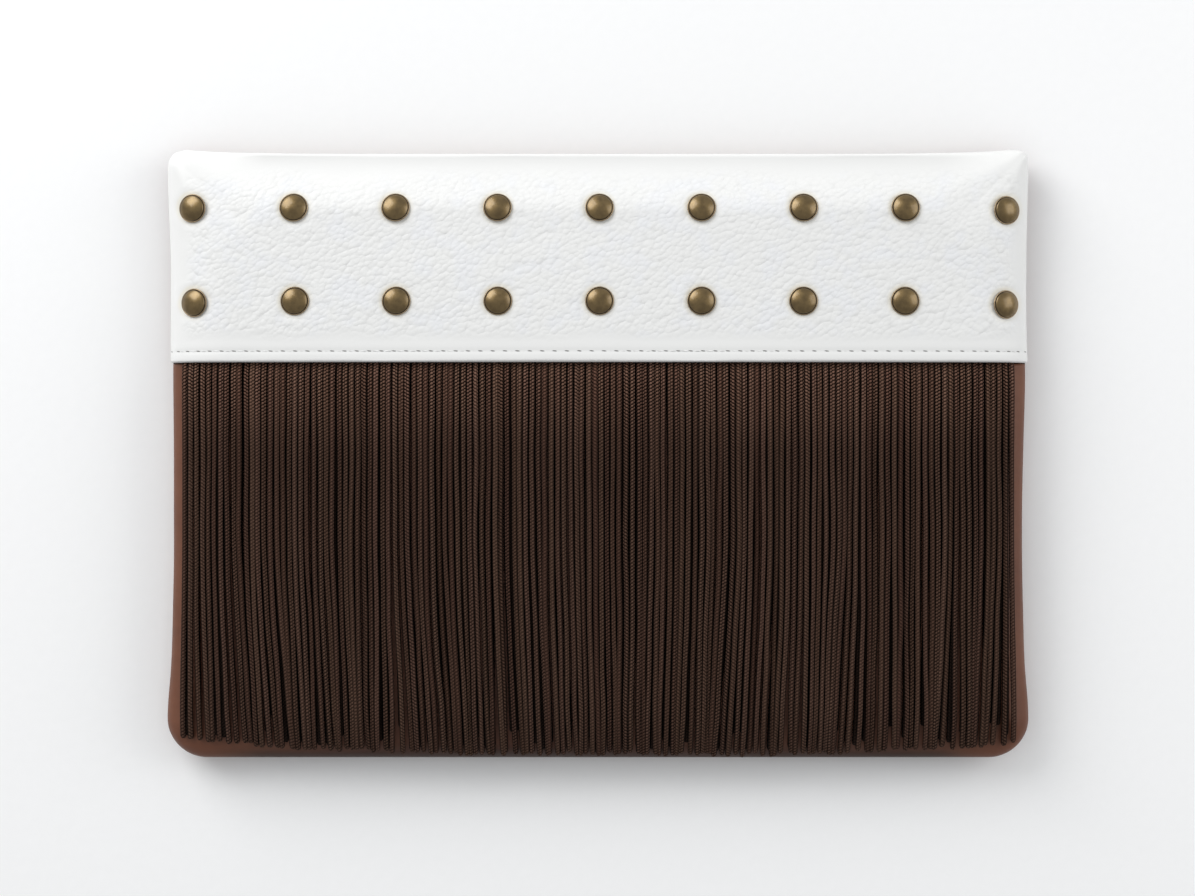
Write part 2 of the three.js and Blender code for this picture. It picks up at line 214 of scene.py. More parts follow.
def on_skin(side, u, v, depth):
    """A place on the flat pattern to its point on the bag, so deep under the skin.

    The leather starts at the seam and rises as a quarter circle over the roll's reach, or at
    the mouth as an S from a flat lip. The width follows the waist, and the mouth's edge sags."""
    open_share = smoothstep(0, MOUTH_TAPER, side.half_width - np.abs(u))
    mouth = open_share * (1 - smoothstep(0, MOUTH_FADE, HALF_HEIGHT - v))
    reach = EDGE_ROLL + (MOUTH_ROLL - EDGE_ROLL) * mouth
    along = np.clip((inset_at(side, u, v) - depth) / (reach - depth), 0, 1)
    rolled = np.sqrt(1 - (1 - along) ** 2)
    bulge = rolled + (smoothstep(0, 1, along) - rolled) * mouth
    edge = SEAM_GAP / 2 + mouth * (MOUTH_GAP / 2 + FOLD_WALL - depth)
    crowned = np.maximum((1 - (u / side.half_width) ** 2) * (1 - (v / HALF_HEIGHT) ** 2), 0)
    full = side.top + side.crown * crowned - side.sunk - depth
    across = np.minimum(np.abs(u) / (side.half_width - MOUTH_CORNER_LEFT), 1)
    sag = MOUTH_SAG * np.maximum(v / HALF_HEIGHT, 0) ** 10 * (1 - across ** 9)
    x = u * width_at(u, v)
    z = SEAM_HEIGHT + side.facing * (edge + (full - edge) * bulge)
    return np.stack([x, v - sag, z], -1)


def half_extent(side, u_sign, v, depth):
    """How far the outline, set in by the depth, reaches at this height: arcs round the corners."""
    radius = corner_radius(u_sign, v)
    past = np.maximum(np.abs(v) - (HALF_HEIGHT - radius), 0)
    arc = np.sqrt(np.maximum((radius - depth) ** 2 - past ** 2, 0))
    return side.half_width - radius + np.where(past > 0, arc, radius - depth)


def across_shares(step):
    """Places from -1 to 1 across the bag: spaced as a circle's where it rolls, even between."""
    rolled = EDGE_ROLL * (1 - np.cos(np.radians(np.arange(0, 46, 3))))
    rolled = rolled[: 2 + int(np.argmax(np.diff(rolled) > step))]
    reach = BAG_WIDTH / 2
    even = np.linspace(rolled[-1], reach, 1 + round((reach - rolled[-1]) / step))[1:]
    half = (reach - np.concatenate([rolled, even])) / reach
    return np.concatenate([-half, half[-2::-1]])


def surface_normals(points):
    """Unit normals of a grid of points, from the cross product of its central differences."""
    normal = np.cross(np.gradient(points, axis=1), np.gradient(points, axis=0))
    normal /= np.maximum(np.linalg.norm(normal, axis=-1, keepdims=True), 1e-9)
    return normal


# Meshes

def grid_quads(rows, columns, wrap_rows=False, wrap_columns=False):
    """Quads between neighbours on a grid, as row and column numbers that aren't yet wrapped."""
    r, c = np.meshgrid(np.arange(rows - (not wrap_rows)), np.arange(columns - (not wrap_columns)),
                       indexing="ij")
    corner_rows = np.stack([r, r, r + 1, r + 1], -1).reshape(-1, 4)
    corner_columns = np.stack([c, c + 1, c + 1, c], -1).reshape(-1, 4)
    return corner_rows, corner_columns


def signed_volume(points, face_sets):
    """A sixth of the sum of each fan triangle's triple product."""
    total = 0.0
    for faces in face_sets:
        for k in range(2, faces.shape[1]):
            a, b, c = points[faces[:, 0]], points[faces[:, k - 1]], points[faces[:, k]]
            total += np.einsum("ij,ij->", a, np.cross(b, c)) / 6
    return total


def make_piece(name, points, face_sets, finish, uv_sets=None, marks=None):
    """A mesh from an array of points in millimetres and arrays of faces, turned outwards.

    uv_sets holds a pair for each corner of each face set, and marks a number for each point."""
    points = np.asarray(points, float).reshape(-1, 3)
    if signed_volume(points, face_sets) < 0:
        face_sets = [faces[:, ::-1] for faces in face_sets]
        uv_sets = uv_sets and [pairs[:, ::-1] for pairs in uv_sets]
    mesh = bpy.data.meshes.new(name)
    corners = np.concatenate([faces.ravel() for faces in face_sets]).astype(np.int32)
    sizes = np.concatenate([np.full(len(faces), faces.shape[1]) for faces in face_sets])
    starts = np.concatenate([[0], np.cumsum(sizes)[:-1]]).astype(np.int32)
    mesh.vertices.add(len(points))
    mesh.vertices.foreach_set("co", (points * 0.001).astype(np.float32).ravel())
    mesh.loops.add(len(corners))
    mesh.loops.foreach_set("vertex_index", corners)
    mesh.polygons.add(len(sizes))
    mesh.polygons.foreach_set("loop_start", starts)
    mesh.polygons.foreach_set("use_smooth", np.ones(len(sizes), bool))
    mesh.update(calc_edges=True)
    if uv_sets:
        layer = mesh.uv_layers.new(name="knit")
        pairs = np.concatenate([pairs.reshape(-1, 2) for pairs in uv_sets])
        layer.data.foreach_set("uv", pairs.astype(np.float32).ravel())
    for mark, numbers in (marks or {}).items():
        attribute = mesh.attributes.new(mark, "FLOAT", "POINT")
        attribute.data.foreach_set("value", np.asarray(numbers, np.float32).ravel())
    mesh.validate()
    piece = bpy.data.objects.new(name, mesh)
    bpy.context.scene.collection.objects.link(piece)
    piece.data.materials.append(finish)
    return piece


def dress(piece, slot, *nodes):
    """The piece rides on the bag and stands for the nodes. The slot is not used."""
    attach(piece, "root")
    if nodes:
        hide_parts(*nodes)


def shell_grid(side, section, shares):
    """The points of a leather wall: its section runs round the wall, its shares across the bag."""
    v = section[:, 0][:, None]
    depth = section[:, 1][:, None]
    a = shares[None, :]
    u = np.where(a < 0, a * half_extent(side, -1.0, v, depth), a * half_extent(side, 1.0, v, depth))
    v, depth = np.broadcast_to(v, u.shape), np.broadcast_to(depth, u.shape)
    return u, v, depth, on_skin(side, u, v, depth)


def shell_faces(rows, columns):
    """Quads all round the section, and one face over each of the wall's two ends."""
    r, c = grid_quads(rows, columns, wrap_rows=True)
    ring = np.arange(rows) * columns
    return [(r % rows) * columns + c, ring[None, ::-1], ring[None, :] + columns - 1]


def stacked(*stretches):
    """Stretches of a section, each an array of height and depth pairs, as one loop."""
    return np.concatenate([np.stack(np.broadcast_arrays(v, d), -1) for v, d in stretches])


def turned_edge(start, reach):
    """A leather edge turned over by the fold's depth: half an ellipse that goes out by the reach."""
    turn = np.radians(np.linspace(18, 162, 7))
    return start + reach * np.sin(turn), FOLD_WALL / 2 - FOLD_WALL / 2 * np.cos(turn)


def raise_face(points, facing, relief):
    """Moves the wall's first rows, which are its face, out along their normals by the relief."""
    face = points[:len(relief)]
    normals = surface_normals(face)
    normals *= facing * np.sign(normals[..., 2].mean())
    face += normals * relief[..., None]


# Shader maths as Python expressions

class Reading:
    """A number, colour or vector on a socket. Sums, products and the like add Math nodes."""

    def __init__(self, finish, socket):
        self.finish = finish
        self.socket = socket

    def math(self, operation, *others):
        values = dict(enumerate((self,) + others))
        return self.finish.node("ShaderNodeMath", {"operation": operation}, values)

    def __add__(self, other):
        return self.math("ADD", other)

    __radd__ = __add__

    def __mul__(self, other):
        return self.math("MULTIPLY", other)

    __rmul__ = __mul__

    def __sub__(self, other):
        return self.math("SUBTRACT", other)

    def __rsub__(self, other):
        return self.math("MULTIPLY", -1.0) + other

    def __truediv__(self, other):
        return self.math("DIVIDE", other)

    def __pow__(self, other):
        return self.math("POWER", other)

    def __abs__(self):
        return self.math("ABSOLUTE")

    def between(self, low, high):
        """0 below low and 1 above high, eased between."""
        sockets = {"Value": self, "From Min": low, "From Max": high}
        settings = {"interpolation_type": "SMOOTHSTEP", "clamp": True}
        return self.finish.node("ShaderNodeMapRange", settings, sockets)


class Finish:
    """A material or sky whose nodes are added by expressions."""

    def __init__(self, name, owner=None):
        self.owner = owner or bpy.data.materials.new(name)
        self.owner.use_nodes = True
        self.tree = self.owner.node_tree
        self.tree.nodes.clear()

    def node(self, kind, settings=None, sockets=None, output=0):
        """Any node: its type, its settings, which are set first, and its sockets' values or links."""
        made = self.tree.nodes.new(kind)
        for key, value in (settings or {}).items():
            setattr(made, key, value)
        for key, value in (sockets or {}).items():
            if isinstance(value, Reading):
                self.tree.links.new(value.socket, made.inputs[key])
            elif isinstance(value, tuple) and made.inputs[key].type == "RGBA":
                made.inputs[key].default_value = (*value, 1.0)
            else:
                made.inputs[key].default_value = value
        return Reading(self, made.outputs[output])

    def place(self):
        """Object coordinates, in metres."""
        return self.node("ShaderNodeTexCoord", output="Object")

    def mark(self, name):
        """A number that the mesh keeps at each point."""
        return self.node("ShaderNodeAttribute", {"attribute_name": name}, output="Fac")

    def axis(self, vector, letter):
        """One coordinate of a vector."""
        return self.node("ShaderNodeSeparateXYZ", None, {"Vector": vector}, output=letter)

    def turned(self, vector, degrees, scale):
        """The vector turned about Z and then stretched."""
        turn = {"Vector": vector, "Rotation": (0.0, 0.0, math.radians(degrees))}
        vector = self.node("ShaderNodeMapping", None, turn)
        return self.node("ShaderNodeMapping", None, {"Vector": vector, "Scale": scale})

    def noise(self, vector, scale, detail=2.0, roughness=0.5):
        """Soft random values from 0 to 1, finer with a larger scale."""
        sockets = {"Vector": vector, "Scale": scale, "Detail": detail, "Roughness": roughness}
        return self.node("ShaderNodeTexNoise", None, sockets, output="Fac")

    def cells(self, vector, scale):
        """The distance to the nearest of the points strewn through space."""
        sockets = {"Vector": vector, "Scale": scale}
        return self.node("ShaderNodeTexVoronoi", {"feature": "F1"}, sockets, output="Distance")

    def domes(self, vector, smoothness):
        """The same distance, with the ridges between neighbours rounded over."""
        sockets = {"Vector": vector, "Scale": 1.0, "Smoothness": smoothness}
        return self.node("ShaderNodeTexVoronoi", {"feature": "SMOOTH_F1"}, sockets,
                         output="Distance")

    def mix(self, factor, a, b):
        """Colour a where the factor is 0 and b where it is 1."""
        settings = {"data_type": "RGBA", "clamp_factor": True}
        return self.node("ShaderNodeMix", settings, {0: factor, 6: a, 7: b}, output=2)

    def tinted(self, colour, strength):
        """The colour brightened or darkened by a number."""
        grey = self.node("ShaderNodeCombineColor", None, {0: strength, 1: strength, 2: strength})
        settings = {"data_type": "RGBA", "blend_type": "MULTIPLY"}
        return self.node("ShaderNodeMix", settings, {0: 1.0, 6: colour, 7: grey}, output=2)

    def bump(self, height, distance):
        """Relief, with its full height in metres."""
        sockets = {"Height": height, "Distance": distance, "Strength": 1.0}
        return self.node("ShaderNodeBump", None, sockets)

    def close(self, **sockets):
        """Ends the material in one Principled shader and returns it."""
        named = {key.replace("_", " "): value for key, value in sockets.items()}
        self.end(self.node("ShaderNodeBsdfPrincipled", None, named), "ShaderNodeOutputMaterial")
        return self.owner

    def end(self, shader, kind):
        """Joins the last shader to an output of this kind."""
        output = self.tree.nodes.new(kind)
        self.tree.links.new(shader.socket, output.inputs["Surface"])


def white_leather():
    """Pebbled white leather, smooth where it is turned, with painted shade in its grain's creases and
    in the needle holes, and a painted warm reflection round each rivet.
    """
    f = Finish("white_leather")
    place = f.place()
    grain = f.mark("grain")
    inside = f.mark("inside")
    lean = f.turned(place, -31.0, (500.0, 730.0, 600.0))
    wobble = f.node("ShaderNodeTexNoise", None, {"Vector": lean, "Scale": 0.55, "Detail": 2.0},
                    output="Color")
    bent = f.node("ShaderNodeVectorMath", {"operation": "MULTIPLY_ADD"},
                  {0: wobble, 1: (0.75, 0.75, 0.75), 2: lean})
    domes = f.domes(bent, 0.32)
    pebble = 1.0 - domes * domes * 1.5
    fine = f.noise(place, 2600.0, 2.0)
    swell = f.noise(place, 260.0, 1.0)
    relief = (pebble * 1.1 + swell * 0.4) * grain + fine * 0.04
    along = f.mark("along")
    step = along - along.math("FLOOR") - 0.5
    slant = f.mark("above_stitch") + step * 0.35
    hole = 1.0 - ((step / 0.2) ** 2.0 + (slant / 0.17) ** 2.0).between(0.3, 1.25)
    cool = f.noise(place, 120.0, 2.0).between(0.45, 0.7)
    leather = f.mix(cool * grain, (0.824, 0.823, 0.81), (0.815, 0.82, 0.829))
    # Painted shade: the creases between the pebbles are made a little darker.
    leather = f.tinted(leather, 1.0 - (1.0 - pebble) * grain * 0.04)
    # Painted reflection: a warm glow of the brass on the leather round each rivet.
    leather = f.mix(f.mark("halo") * 0.55, leather, (0.80, 0.755, 0.64))
    leather = f.mix(inside, leather, (0.62, 0.55, 0.45))
    # Painted shade: the needle holes are darkened almost to black.
    leather = f.mix(hole * 0.88, leather, (0.09, 0.085, 0.08))
    rough = 0.45 + fine * 0.08 + inside * 0.4
    normal = f.bump(relief - hole * 1.5, 0.00014)
    return f.close(Base_Color=leather, Roughness=rough, Normal=normal)


def brown_leather():
    """Smooth reddish-brown leather with pores, faint creases, lighter patches of wear and a painted
    shadow of the fringe's ends along the middle of its lower edge."""
    f = Finish("brown_leather")
    place = f.place()
    inside = f.mark("inside")
    patchy = f.noise(place, 26.0, 4.0, 0.6)
    streak = f.noise(f.turned(place, 8.0, (60.0, 420.0, 200.0)), 1.0, 3.0)
    pores = f.cells(place, 1500.0)
    fine = f.noise(place, 900.0, 3.0)
    leather = f.mix(patchy.between(0.3, 0.72), (0.136, 0.046, 0.022), (0.190, 0.072, 0.037))
    leather = f.tinted(leather, streak * 0.22 + 0.8)
    above = f.axis(place, "Y")
    aside = abs(f.axis(place, "X"))
    # Painted shadow: the middle of the bottom edge, under the fringe's ends, is darkened.
    painted_shadow = (1.0 - above.between(-0.1, -0.0945)) * (1.0 - aside.between(0.108, 0.132))
    leather = f.tinted(leather, 1.0 - painted_shadow * 0.78)
    suede = f.mix(f.noise(place, 700.0, 4.0), (0.15, 0.085, 0.055), (0.23, 0.14, 0.095))
    leather = f.mix(inside, leather, suede)
    rough = 0.46 + patchy * 0.12 + inside * 0.42
    relief = pores.between(0.0, 0.35) * 0.3 + fine * 0.5 + streak * 0.9
    return f.close(Base_Color=leather, Roughness=rough, Normal=f.bump(relief, 0.00006),
                   Specular_IOR_Level=0.38)


def knitted_cord():
    """Six rows of leaning loops round each cord, every second row half a loop on, with painted shade in
    the loops' hollows, down each cord's sides and on whatever is marked deep.
    """
    f = Finish("knitted_cord")
    place = f.place()
    tone = f.mark("tone")
    knit = f.node("ShaderNodeUVMap", {"uv_map": "knit"})
    around = f.axis(knit, "X")
    lengthways = f.axis(knit, "Y")
    near_hem = 1.0 - lengthways.between(5.0, 30.0)
    wales = around * 6.0 + tone * 2.0
    wale = wales.math("FLOOR")
    side = wales - wale
    leaning = ((tone * 7.3).math("FRACT") - 0.12).math("SIGN")
    phase = lengthways + (wale * 0.5).math("FRACT") - leaning * (side - 0.5) * 0.28
    stitch = (phase * (2 * math.pi)).math("COSINE") * 0.5 + 0.5
    ridge = (side * math.pi).math("SINE")
    loop = stitch * (ridge * 0.8 + 0.2)
    crest = (around * (2 * math.pi)).math("SINE").between(0.22, 0.93)
    fuzz = f.noise(place, 2600.0, 3.0, 0.7)
    patchy = f.noise(place, 42.0, 2.0)
    clear = (tone * 5.3).math("FRACT") * 0.3 + near_hem * 0.25 + 0.6
    open_loop = 1.0 - (1.0 - loop.between(0.05, 0.7)) * clear.math("MINIMUM", 1.0)
    pale = f.mix(tone, (0.138, 0.069, 0.049), (0.212, 0.117, 0.085))
    pale = f.mix((tone * 11.7).math("FRACT") * 0.4, pale, (0.165, 0.1, 0.062))
    # Painted shade: the hollows between the loops are nearly black.
    cord = f.mix(open_loop, (0.007, 0.0025, 0.0012), pale)
    # Painted shade: each cord darkens towards its sides, and what is marked deep, lying under the front
    # row or the hem, is darker still. The cords are also brighter near the hem.
    lit = (fuzz * 0.9 + patchy * 0.3 + 0.36) * (near_hem * 0.54 + 0.54)
    cord = f.tinted(cord, lit * (crest * 0.97 + 0.03) * (1.0 - f.mark("deep") * 0.8))
    relief = loop + fuzz * 0.4
    return f.close(Base_Color=cord, Roughness=0.9, Normal=f.bump(relief, 0.0002),
                   Specular_IOR_Level=0.08)


def antique_brass():
    """Satin brass, darkened unevenly and in its groove, with a painted highlight on its rim, and
    lacquered.
    """
    f = Finish("antique_brass")
    place = f.place()
    cloud = f.noise(place, 420.0, 4.0, 0.6)
    speck = f.noise(place, 3200.0, 2.0)
    brass = f.mix(cloud.between(0.3, 0.7), (0.135, 0.088, 0.032), (0.200, 0.134, 0.052))
    # Painted highlight: the rim is made lighter all round.
    brass = f.mix(f.mark("rim_highlight") * 0.8, brass, (0.36, 0.27, 0.165))
    brass = f.mix(f.mark("groove"), brass, (0.045, 0.028, 0.013))
    rough = 0.31 + cloud * 0.10 + speck * 0.06
    return f.close(Base_Color=brass, Metallic=1.0, Roughness=rough,
                   Normal=f.bump(cloud * 0.4 + speck * 0.2, 0.00003),
                   Coat_Weight=0.8, Coat_Roughness=0.2)


def sewing_thread():
    """White twisted thread, with painted shade between its plies."""
    f = Finish("sewing_thread")
    twist = f.turned(f.place(), 24.0, (2600.0, 600.0, 600.0))
    ply = f.axis(twist, "X").math("SINE")
    # Painted shade: the thread darkens between its plies.
    shade = f.mix(ply * 0.5 + 0.5, (0.62, 0.62, 0.61), (0.82, 0.82, 0.81))
    return f.close(Base_Color=shade, Roughness=0.6, Normal=f.bump(ply, 0.00004))


def snap_steel():
    """Plain satin steel with fine turning marks."""
    f = Finish("snap_steel")
    mark = f.noise(f.turned(f.place(), 0.0, (900.0, 900.0, 9000.0)), 1.0, 3.0)
    steel = f.mix(mark, (0.24, 0.235, 0.22), (0.36, 0.35, 0.33))
    return f.close(Base_Color=steel, Metallic=1.0, Roughness=mark * 0.2 + 0.3,
                   Normal=f.bump(mark, 0.00002))


def pale_floor():
    """Matt, nearly white paper."""
    f = Finish("pale_floor")
    fibre = f.noise(f.place(), 300.0, 4.0)
    paper = f.mix(fibre, (0.955, 0.955, 0.955), (0.985, 0.985, 0.985))
    return f.close(Base_Color=paper, Roughness=0.85, Normal=f.bump(fibre, 0.00003))


WHITE_LEATHER = white_leather()
BROWN_LEATHER = brown_leather()
KNITTED_CORD = knitted_cord()
ANTIQUE_BRASS = antique_brass()
SEWING_THREAD = sewing_thread()
SNAP_STEEL = snap_steel()


# The rivets' seats, which the band's puckers share

def rivet_places():
    """Name, and place on the pattern, of each rivet: even columns, with the end ones a bit low."""
    span = BAG_WIDTH - 2 * RIVET_INSET
    places = []
    for row in RIVET_ROWS:
        for column in range(RIVET_COLUMNS):
            stray = row.left_stray * (column == 0) + row.right_stray * (column == RIVET_COLUMNS - 1)
            u = RIVET_SHIFT + span * (column / (RIVET_COLUMNS - 1) - 0.5)
            v = HALF_HEIGHT - BAND_HEIGHT * row.down - CAP_RADIUS * stray
            places.append((f"rivet_{row.name}_{column + 1}", u, v))
    return places


RIVETS = rivet_places()


# The white band

def band_relief(side, u, v):
    """How far the band's face stands out of its plain skin, how much grain it shows, and how strongly a
    painted warm reflection of the brass shows round each rivet.

    The sum of low waves, a groove along the stitches with a puffed hem below it, and a dent
    with short folds round every rivet. The grain fades towards every edge."""
    from_side = side.half_width - np.abs(u)
    from_mouth = HALF_HEIGHT - v
    above_hem = v - HEM_EDGE
    uneven = 2.2 * soft_noise(u / 17, v / 13, 3)
    grain = smoothstep(5.0, 14.0, from_mouth + uneven) * smoothstep(2.5, 9.0, from_side + uneven)
    grain = grain * smoothstep(6.5, 11.5, above_hem + uneven * 0.6)
    relief = 0.14 * soft_noise(u / 31, v / 19, 8) * smoothstep(0, 12, from_side)
    relief += 0.05 * soft_noise(u / 9, v / 6, 9) * smoothstep(0, 12, from_side)
    groove = smoothstep(0.0, 3.0, from_side)
    relief -= 0.15 * bell(above_hem, STITCH_RISE, 0.5) * groove
    relief += 0.07 * bell(above_hem, 0.5 * STITCH_RISE, 1.3) * groove
    relief += 0.05 * bell(above_hem, STITCH_RISE + 1.8, 1.2) * groove
    halo = np.zeros(u.shape)
    for number, (_, rivet_u, rivet_v) in enumerate(RIVETS):
        far = np.hypot(u - rivet_u, v - rivet_v)
        angle = np.arctan2(v - rivet_v, u - rivet_u)
        folds = np.cos(angle * (5 + number % 3) + number * 1.7) * (1 - 0.6 * np.cos(angle))
        relief -= 0.30 * np.exp(-((far / 5.4) ** 4))
        relief += 0.05 * bell(far, 7.4, 1.3)
        relief += 0.035 * folds * bell(far, 6.2, 1.5)
        grain = grain * (1 - 0.5 * np.exp(-((far / 6.0) ** 4)))
        # The painted reflection of the brass, strongest to each rivet's upper left.
        halo += bell(far, 5.1, 0.75) * (1 - 0.45 * np.cos(angle + 0.8))
    return relief, grain, halo


def arc_along(points):
    """The length along each row of a grid of points, from its middle."""
    steps = np.linalg.norm(np.diff(points, axis=1), axis=-1)
    length = np.concatenate([np.zeros((len(points), 1)), np.cumsum(steps, axis=1)], axis=1)
    return length - length[:, length.shape[1] // 2][:, None]


def make_band():
    """The band as one wall: its face from mouth to hem, both turned edges, and its back."""
    top = HALF_HEIGHT - FOLD_WALL / 2
    face_v = np.linspace(top, HEM_EDGE + HEM_TURN, 1 + round((BAND_HEIGHT - FOLD_WALL) / GRAIN_STEP))
    lip_v, lip_depth = turned_edge(top, FOLD_WALL / 2)
    hem_top, lip_low = HEM_EDGE + HEM_FOLD, HALF_HEIGHT - LIP_FOLD
    section = stacked(
        (face_v, 0.0),
        turned_edge(HEM_EDGE + HEM_TURN, -HEM_TURN),
        (np.array([HEM_EDGE + HEM_TURN, hem_top - 0.2]), FOLD_WALL),
        (np.array([hem_top, hem_top + 10, hem_top + 20, hem_top + 30, lip_low]), LEATHER_WALL),
        (np.array([lip_low + 0.2, lip_low + 5, lip_low + 10, top]), FOLD_WALL),
        (lip_v[::-1], lip_depth[::-1]),
    )
    u, v, depth, points = shell_grid(BAND_SIDE, section, across_shares(GRAIN_STEP))
    faces = len(face_v)
    relief, grain, halo = band_relief(BAND_SIDE, u[:faces], v[:faces])
    ends = smoothstep(0.0, 1.2, BAND_SIDE.half_width - np.abs(u[:faces]))
    raise_face(points, BAND_SIDE.facing, relief * ends)
    unmarked = np.zeros((len(u) - faces, u.shape[1]))
    marks = {
        "grain": np.concatenate([grain, unmarked]),
        "halo": np.concatenate([halo, unmarked]),
        "inside": (depth > FOLD_WALL / 2) * 1.0,
        "along": arc_along(points) / STITCH_PITCH,
        "above_stitch": np.where(depth < 0.1, v - HEM_EDGE - STITCH_RISE, 9.0),
    }
    band = make_piece("band_leather", points, shell_faces(*u.shape), WHITE_LEATHER, marks=marks)
    dress(band, "white_leather", "top_band")


def hem_thread():
    """Stitches along the hem: each a thin tube that rises out of one hole and dips into the next."""
    u = np.linspace(-BAND_SIDE.half_width + 1.0, BAND_SIDE.half_width - 1.0, 2400)[None, :]
    v = np.full(u.shape, HEM_EDGE + STITCH_RISE)
    row = on_skin(BAND_SIDE, u, v, np.zeros(u.shape))
    length = arc_along(row)[0]
    count = int((length[-1] - length[0]) / STITCH_PITCH) - 1
    first = math.ceil(length[0] / STITCH_PITCH) + 0.5
    rings, sides = 9, 7
    along = np.linspace(0.08, 0.92, rings)[None, :]
    at = (first + np.arange(count)[:, None] + along) * STITCH_PITCH
    centre = np.stack([np.interp(at, length, row[0, :, k]) for k in range(3)], -1)
    dip = 0.64 - 0.42 * np.maximum(np.sin(np.pi * (along - 0.08) / 0.84), 0) ** 0.6
    centre[..., 2] -= dip
    centre[..., 1] += 0.25 * (0.5 - along)
    angle = 2 * np.pi * np.arange(sides) / sides
    radius = THREAD_RADIUS * np.ones(rings)
    radius[[0, -1]] = 0.08
    ring = np.stack([np.zeros(sides), np.cos(angle), np.sin(angle)], -1)
    points = centre[:, :, None, :] + radius[None, :, None, None] * ring[None, None, :, :]
    thread = make_piece("hem_thread", points, tube_faces(count, rings, sides), SEWING_THREAD)
    dress(thread, "white_leather")


def tube_faces(count, rings, sides):
    """Quads round many tubes that lie one after another, and one face over each tube's two ends."""
    r, c = grid_quads(rings, sides, wrap_columns=True)
    base = (np.arange(count) * rings * sides)[:, None, None]
    quads = (base + (r * sides + c % sides)[None]).reshape(-1, 4)
    ring = np.arange(sides)
    first = base[:, :, 0] + ring[None, ::-1]
    last = base[:, :, 0] + (rings - 1) * sides + ring[None, :]
    return [quads, first, last]


def tube_uvs(count, rings, sides, lengthways):
    """For each corner: its share of the way round, and its place along the tube in stitches."""
    r, c = grid_quads(rings, sides, wrap_columns=True)
    around = np.broadcast_to(c / sides, (count,) + c.shape)
    along = lengthways[:, r]
    quads = np.stack([around, along], -1).reshape(-1, 4, 2)
    cap = np.zeros((count, sides, 2))
    return [quads, cap, cap]


# The brown panels

def brown_relief(side, u, v, seed):
    """Low waves, with faint creases that run in from the sides and along the bottom."""
    from_edge = np.maximum(inset_at(side, u, v), 0)
    relief = 0.22 * soft_noise(u / 27 + seed, v / 21, 21 + seed)
    relief += 0.07 * soft_noise(u / 7 + seed, v / 9, 23 + seed)
    creases = bell(soft_noise(u / 11, v / 3.2, 29 + seed), 0.0, 0.18)
    relief -= 0.10 * creases * bell(from_edge, 7.0, 6.0)
    return relief * smoothstep(0.0, 3.0, from_edge)


def make_front():
    """The lower front as one wall, from its tab under the hem down to the bottom seam."""
    top = HEM_EDGE - CLEARANCE
    tilt = np.radians(np.arange(0, 61, 3.5))
    rolled = -HALF_HEIGHT + EDGE_ROLL * (1 - np.cos(tilt))
    plain = np.linspace(rolled[-1], top, 1 + round((top - rolled[-1]) / PANEL_STEP))[1:]
    face_v = np.concatenate([rolled, plain])[::-1]
    back_v = np.concatenate([-HALF_HEIGHT + LEATHER_WALL + np.array([0, 0.4, 1.6, 4, 8, 14]),
                             np.linspace(-80, top, 16)])
    section = stacked((face_v, 0.0), (back_v, LEATHER_WALL))
    u, v, depth, points = shell_grid(FRONT_SIDE, section, across_shares(PANEL_STEP))
    faces = len(face_v)
    relief = brown_relief(FRONT_SIDE, u[:faces], v[:faces], 1) * smoothstep(0, 4, top - v[:faces])
    raise_face(points, FRONT_SIDE.facing, relief)
    marks = {"inside": (depth > 0.5 * LEATHER_WALL) * 1.0}
    front = make_piece("front_leather", points, shell_faces(*u.shape), BROWN_LEATHER, marks=marks)
    dress(front, "brown_leather", "front_panel")


def make_back():
    """The back as one wall, from the bottom seam up to its turned lip."""
    tilt = np.radians(np.arange(0, 61, 4))
    rolled = -HALF_HEIGHT + EDGE_ROLL * (1 - np.cos(tilt))
    top = HALF_HEIGHT - FOLD_WALL / 2
    plain = np.linspace(rolled[-1], top, 1 + round((top - rolled[-1]) / BACK_STEP))[1:]
    face_v = np.concatenate([rolled, plain])
    lip_low = HALF_HEIGHT - LIP_FOLD
    back_v = np.concatenate([np.linspace(lip_low, -80, 24),
                             -HALF_HEIGHT + LEATHER_WALL + np.array([14, 8, 4, 1.6, 0.4, 0])])
    section = stacked(
        (face_v, 0.0),
        turned_edge(top, FOLD_WALL / 2),
        (np.array([top, lip_low + 10, lip_low + 5, lip_low + 0.2]), FOLD_WALL),
        (back_v, LEATHER_WALL),
    )
    u, v, depth, points = shell_grid(BACK_SIDE, section, across_shares(BACK_STEP))
    faces = len(face_v)
    off_floor = smoothstep(0.3, 2.0, points[:faces][..., 2])
    relief = brown_relief(BACK_SIDE, u[:faces], v[:faces], 2) * off_floor
    raise_face(points, BACK_SIDE.facing, relief * smoothstep(0, 4, HALF_HEIGHT - v[:faces]))
    marks = {"inside": (depth > 0.5 * LEATHER_WALL) * (v < lip_low) * 1.0}
    back = make_piece("back_leather", points, shell_faces(*u.shape), BROWN_LEATHER, marks=marks)
    dress(back, "brown_leather", "back_panel")


# The fringe

def cord_shares(rings):
    """Even shares of a cord's length, with one more ring close to its end."""
    return np.append(np.linspace(0, 0.995, rings - 1), 1.0)[None, :]


